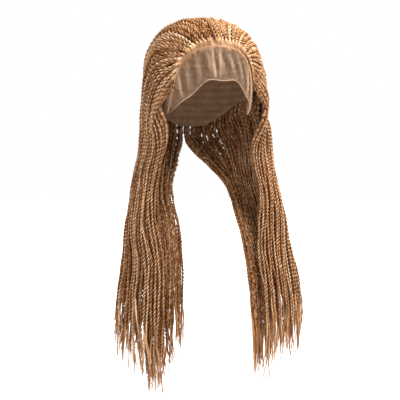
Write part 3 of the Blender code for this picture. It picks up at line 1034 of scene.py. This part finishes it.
def honey_hair():
    """Synthetic hair: fine streaks along each strand, a tone for each twist, copper thin ends, and
    painted shade in its creases and on its hidden sides.
    """
    nodes = Nodes("honey_hair")
    lay = nodes.attribute("lay", "Vector")
    stretched = nodes.add("ShaderNodeMapping", {"Vector": lay, "Scale": (1, 1, 26)}).outputs["Vector"]
    streaks = nodes.noise(stretched, scale=6.5, detail=3)
    patches = nodes.add("ShaderNodeMapping", {"Vector": lay, "Scale": (0.3, 0.3, 30)}).outputs["Vector"]
    clouds = nodes.noise(patches, scale=1.0, detail=2)
    tones = nodes.sum(nodes.attribute("tone"), 0.10, 0.0)
    tones = nodes.sum(streaks, 0.62, tones)
    tones = nodes.sum(clouds, 0.38, tones)
    # Streak tones, the palest of them partly painted sheen
    colour = nodes.ramp(tones, HAIR_TONES)
    copper = nodes.ramp(streaks, COPPER_TONES)
    # Copper towards thin ends, partly painted light shining through the hair
    thin = nodes.add("ShaderNodeMath", {0: nodes.attribute("tip"), 1: 0.55}, operation="MULTIPLY")
    blend = nodes.mix(thin.outputs[0], colour, copper)
    # Painted shade: creases and hidden sides are mixed towards a dark brown
    painted_shade = nodes.attribute("painted_shade")
    shaded = nodes.add("ShaderNodeMath", {0: painted_shade, 1: 0.95}, operation="MULTIPLY", use_clamp=True)
    nodes.finish(nodes.mix(shaded.outputs[0], blend, PAINTED_SHADE_COLOUR), "Base Color")
    nodes.finish(nodes.fitted(streaks, (0.0, 1.0), (0.34, 0.52)), "Roughness")
    nodes.shader.inputs["Specular IOR Level"].default_value = 0.03
    nodes.bump(streaks, 0.0005)
    return nodes.material


def thread_distance(nodes, place, cell):
    """How far a point is from the nearest thread of a fine net, in cells."""
    sized = nodes.add("ShaderNodeMapping", {"Vector": place, "Scale": (1 / cell,) * 3})
    return nodes.add(
        "ShaderNodeTexVoronoi",
        {"Vector": sized.outputs["Vector"], "Scale": 1.0, "Randomness": 0.25},
        feature="DISTANCE_TO_EDGE",
        voronoi_dimensions="2D",
    ).outputs["Distance"]


def sheer_lace():
    """Skin-tone lace: thin threads round open holes, denser at the cut edge and in its folds."""
    nodes = Nodes("sheer_lace")
    cloth = nodes.add("ShaderNodeUVMap").outputs["UV"]
    thread = nodes.fitted(thread_distance(nodes, cloth, NET_CELL), (0.015, 0.06), (0.6, 0.02))
    depth = nodes.add("ShaderNodeSeparateXYZ", {"Vector": cloth}).outputs["Y"]
    edge = nodes.fitted(depth, (0.0004, 0.0016), (0.55, 0.0))
    gathered = nodes.sum(nodes.attribute("fold"), 0.26, edge)
    alpha = nodes.add("ShaderNodeMath", {0: thread, 1: gathered}, operation="ADD", use_clamp=True)
    nodes.finish(alpha.outputs[0], "Alpha")
    nodes.shader.inputs["Base Color"].default_value = LACE_COLOUR
    nodes.shader.inputs["Roughness"].default_value = 0.6
    return nodes.material


def rim_plane():
    """The plane nearest to the hairline, as a unit vector that points back from it and an offset."""
    azimuths = np.linspace(0, RIM_HALF_SPAN, 23)
    rim = on_head(direction(azimuths, cap_edge(azimuths)))
    rim = np.concatenate([rim, rim * (-1, 1, 1)])
    middle = rim.mean(axis=0)
    back = np.linalg.svd(rim - middle)[2][-1]
    back = back * np.sign(back[1])
    return back, float(back @ middle)


def brown_net():
    """The cap's stretch net: threads over a darker ground, with pale lace behind the hairline."""
    nodes = Nodes("brown_net")
    place = nodes.add("ShaderNodeTexCoord").outputs["Object"]
    fine = nodes.noise(place, scale=900.0, detail=2)
    clouds = nodes.noise(place, scale=45.0, detail=3)
    rows = nodes.add(
        "ShaderNodeTexWave",
        {"Vector": place, "Scale": 26.0, "Distortion": 1.2, "Detail": 2, "Detail Scale": 1.5},
        bands_direction="Z",
    ).outputs["Fac"]
    net = nodes.mix(1.0, nodes.ramp(fine, NET_THREADS), nodes.ramp(clouds, NET_WORN), "MULTIPLY")
    net = nodes.mix(1.0, net, nodes.ramp(rows, NET_ROWS), "MULTIPLY")
    back, offset = rim_plane()
    behind = nodes.add("ShaderNodeVectorMath", {0: place, 1: tuple(back.tolist())}, operation="DOT_PRODUCT")
    pale = nodes.fitted(behind.outputs["Value"], (offset, offset + RIM_DEPTH), (0.9, 0.0))
    nodes.finish(nodes.mix(pale, net, RIM_COLOUR), "Base Color")
    nodes.shader.inputs["Roughness"].default_value = 0.82
    nodes.shader.inputs["Specular IOR Level"].default_value = 0.2
    nodes.bump(nodes.sum(rows, 1.2, fine), 0.0008)
    return nodes.material


def pale_floor():
    """Plain matt studio floor."""
    nodes = Nodes("pale_floor")
    nodes.shader.inputs["Base Color"].default_value = FLOOR_COLOUR
    nodes.shader.inputs["Roughness"].default_value = 0.9
    nodes.shader.inputs["Specular IOR Level"].default_value = 0.1
    return nodes.material


# The scene


def add_object(mesh, material):
    """A piece of the mesh's own name, at the origin."""
    made = bpy.data.objects.new(mesh.name, mesh)
    bpy.context.scene.collection.objects.link(made)
    mesh.materials.append(material)
    return made


def set_camera():
    """The photo's view: from a little to the wearer's right, almost level."""
    azimuth, elevation = math.radians(CAMERA_AZIMUTH), math.radians(CAMERA_ELEVATION)
    right = Vector((math.cos(azimuth), math.sin(azimuth), 0))
    back = Vector(
        (
            math.sin(azimuth) * math.cos(elevation),
            -math.cos(azimuth) * math.cos(elevation),
            math.sin(elevation),
        )
    )
    aim = Vector((0, 0, -AIM_DROP)) + right * AIM_SIDEWAYS
    camera = bpy.data.objects.new("camera", bpy.data.cameras.new("camera"))
    bpy.context.scene.collection.objects.link(camera)
    camera.data.lens = camera.data.sensor_width * CAMERA_DISTANCE / FRAME_WIDTH
    camera.location = aim + back * CAMERA_DISTANCE
    camera.rotation_mode = "QUATERNION"
    camera.rotation_quaternion = (-back).to_track_quat("-Z", "Y")
    bpy.context.scene.camera = camera


def set_light():
    """White surroundings, a broad key from high on the camera's right, a weak fill from its side."""
    world = bpy.data.worlds.new("studio")
    world.use_nodes = True
    tree = world.node_tree
    seen = tree.nodes["Background"]
    seen.inputs["Color"].default_value = (1, 1, 1, 1)
    lit = tree.nodes.new("ShaderNodeBackground")
    lit.inputs["Strength"].default_value = AMBIENT
    path = tree.nodes.new("ShaderNodeLightPath")
    mix = tree.nodes.new("ShaderNodeMixShader")
    tree.links.new(path.outputs["Is Camera Ray"], mix.inputs[0])
    tree.links.new(lit.outputs[0], mix.inputs[1])
    tree.links.new(seen.outputs[0], mix.inputs[2])
    tree.links.new(mix.outputs[0], tree.nodes["World Output"].inputs[0])
    bpy.context.scene.world = world
    for name, strength, angle, way in LIGHTS:
        light = bpy.data.objects.new(name, bpy.data.lights.new(name, "SUN"))
        bpy.context.scene.collection.objects.link(light)
        light.data.energy = strength
        light.data.angle = math.radians(angle)
        light.rotation_mode = "QUATERNION"
        light.rotation_quaternion = Vector(way).to_track_quat("-Z", "Y")
    bpy.context.scene.view_settings.view_transform = "Standard"


def set_floor():
    """The floor, well below the longest tips."""
    bm = bmesh.new()
    bmesh.ops.create_grid(bm, x_segments=1, y_segments=1, size=FLOOR_SIZE)
    bmesh.ops.translate(bm, verts=bm.verts[:], vec=(0, 0, -FLOOR_DROP))
    mesh = bpy.data.meshes.new("floor")
    bm.to_mesh(mesh)
    bm.free()
    add_object(mesh, pale_floor())


def main():
    """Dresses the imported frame."""
    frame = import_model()
    set_camera()
    set_light()
    set_floor()
    hair = honey_hair()
    for (side, group), mesh in build_twists().items():
        twists = add_object(mesh, hair)
        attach(twists, "root")
        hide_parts(f"{side}_{group}_braids", "crown_braids")
    temple_hairs = add_object(build_temple_hairs(), hair)
    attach(temple_hairs, "root")
    lace = add_object(build_lace(), sheer_lace())
    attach(lace, "root")
    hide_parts("lace_front")
    cap = frame["nodes"]["cap"]
    cap.data.materials.clear()
    cap.data.materials.append(brown_net())


main()
